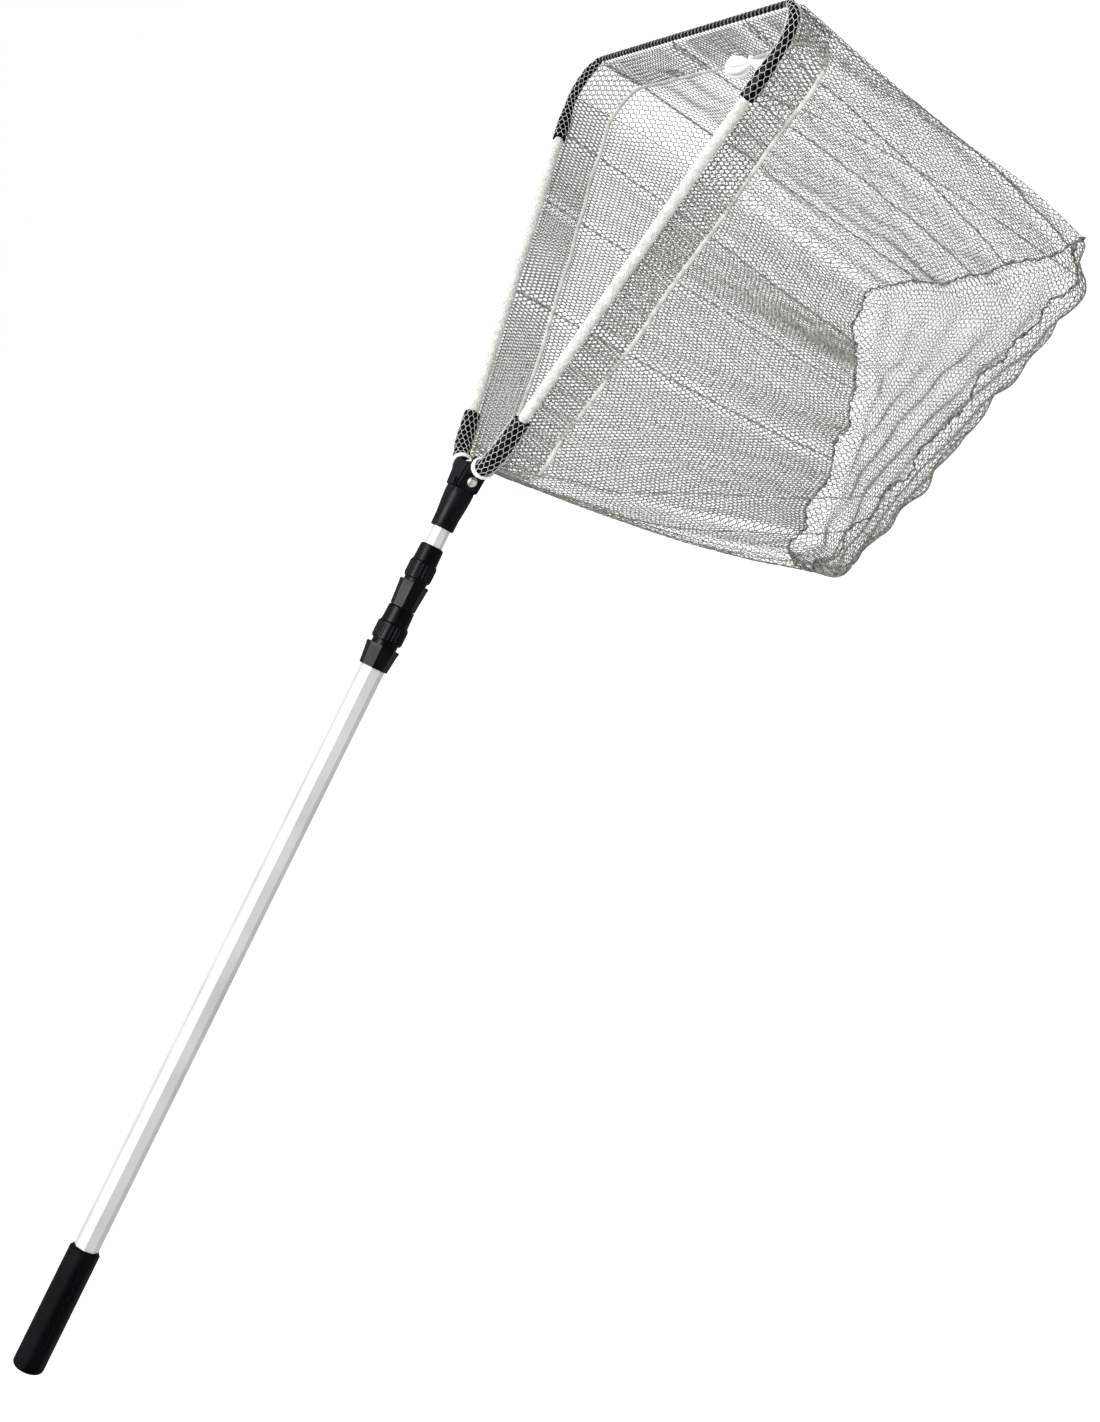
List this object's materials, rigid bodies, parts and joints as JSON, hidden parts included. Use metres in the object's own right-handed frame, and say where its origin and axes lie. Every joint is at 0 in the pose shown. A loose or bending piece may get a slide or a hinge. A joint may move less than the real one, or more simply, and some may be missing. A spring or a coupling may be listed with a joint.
{
  "type": "landing net",
  "caption": "Folding landing net: a telescopic octagonal pole with twist locks, a pivoting hub and two arms spreading a triangular mouth over a deep knitted mesh bag.",
  "frame": {"origin": "centre of the flat butt of the grip", "axes": "+Y along the pole towards the net, +X to the right, +Z out of the mouth; the bag hangs towards -Z"},
  "size_m": [0.5306, 1.4952, 0.4546],
  "materials": {
    "grip_rubber": "moulded rubber with a fine matt skin",
    "black_plastic": "satin moulded plastic with rubbed edges",
    "collet_plastic": "natural nylon",
    "pole_aluminium": "drawn and clear-anodised, fine lengthwise lines",
    "hub_plastic": "moulded plastic with scuffs and pale rubs",
    "rivet_steel": "zinc-plated, slightly dulled",
    "ring_wire": "plated wire worn to brass",
    "spring_wire": "bright spring wire",
    "arm_aluminium": "satin tube seen through white hem",
    "tip_plastic": "moulded nylon",
    "net_white": "knitted white hem",
    "dark_cord": "braided cord",
    "net_grey": "coated knitted mesh, light grey",
    "tag_cloth": "blank woven tape"
  },
  "bodies": {
    "handle": {"grip": "grip_rubber", "butt_plug": "black_plastic", "outer_tube": "pole_aluminium", "lower_lock_base": "black_plastic", "lower_collet": "collet_plastic"},
    "lower_nut": {"lower_lock_nut": "black_plastic"},
    "middle": {"middle_tube": "pole_aluminium", "middle_foot": "black_plastic", "upper_lock_base": "black_plastic", "upper_collet": "collet_plastic"},
    "upper_nut": {"upper_lock_nut": "black_plastic"},
    "inner": {"inner_tube": "pole_aluminium", "inner_foot": "black_plastic", "hub_block": "hub_plastic", "hub_catch": "hub_plastic", "hub_cross_pin": "rivet_steel", "left_pivot_pin": "rivet_steel", "right_pivot_pin": "rivet_steel", "pivot_washers": "rivet_steel", "net_ring": "ring_wire", "spring_collar": "black_plastic", "sleeve_spring": "spring_wire"},
    "sleeve": {"lock_sleeve": "hub_plastic"},
    "left_arm": {"left_arm_root": "hub_plastic", "left_arm_tube": "arm_aluminium", "left_arm_tip": "tip_plastic", "left_hem": "net_white"},
    "right_arm": {"right_arm_root": "hub_plastic", "right_arm_tube": "arm_aluminium", "right_arm_tip": "tip_plastic", "right_hem": "net_white"},
    "front_rim": {"front_cord": "dark_cord", "front_winding": "net_grey"},
    "net_bag": {"bag_net": "net_grey", "bag_tag": "tag_cloth"}
  },
  "joints": [
    {"name": "lower_lock_twist", "type": "hinge", "parent": "handle", "child": "lower_nut", "pos_m": [0, 0.796, 0], "axis": [0, 1, 0], "range_deg": [0, 120]},
    {"name": "middle_extend", "type": "slide", "parent": "handle", "child": "middle", "axis": [0, 1, 0], "range_m": [0, 0.65]},
    {"name": "upper_lock_twist", "type": "hinge", "parent": "middle", "child": "upper_nut", "pos_m": [0, 0.866, 0], "axis": [0, 1, 0], "range_deg": [0, 120]},
    {"name": "inner_extend", "type": "slide", "parent": "middle", "child": "inner", "axis": [0, 1, 0], "range_m": [0, 0.64]},
    {"name": "left_arm_fold", "type": "hinge", "parent": "inner", "child": "left_arm", "pos_m": [-0.0134, 0.97, 0], "axis": [0.9763, 0.2164, 0], "range_deg": [0, 177], "deforming": ["bag_net", "bag_tag", "front_cord", "front_winding", "sleeve_spring"]},
    {"name": "right_arm_fold", "type": "hinge", "parent": "inner", "child": "right_arm", "pos_m": [0.0134, 0.97, 0], "axis": [0.9763, -0.2164, 0], "range_deg": [0, 175.21]},
    {"name": "sleeve_retract", "type": "slide", "parent": "inner", "child": "sleeve", "axis": [0, -1, 0], "range_m": [0, 0.0181]},
    {"name": "front_fold", "type": "hinge", "parent": "inner", "child": "front_rim", "pos_m": [0, 0.949, 0], "axis": [1, 0, 0], "range_deg": [0, 176.11]},
    {"name": "bag_turn", "type": "hinge", "parent": "front_rim", "child": "net_bag", "pos_m": [0, 0.949, 0], "axis": [0, 1, 0], "range_deg": [0, 180.01]}
  ],
  "couplings": [
    {"joint": "right_arm_fold", "follows": "left_arm_fold", "ratio": 0.98983},
    {"joint": "sleeve_retract", "follows": "left_arm_fold", "m_per_rad": 0.005827},
    {"joint": "front_fold", "follows": "left_arm_fold", "ratio": 0.99491},
    {"joint": "bag_turn", "follows": "left_arm_fold", "ratio": 1.0169}
  ]
}
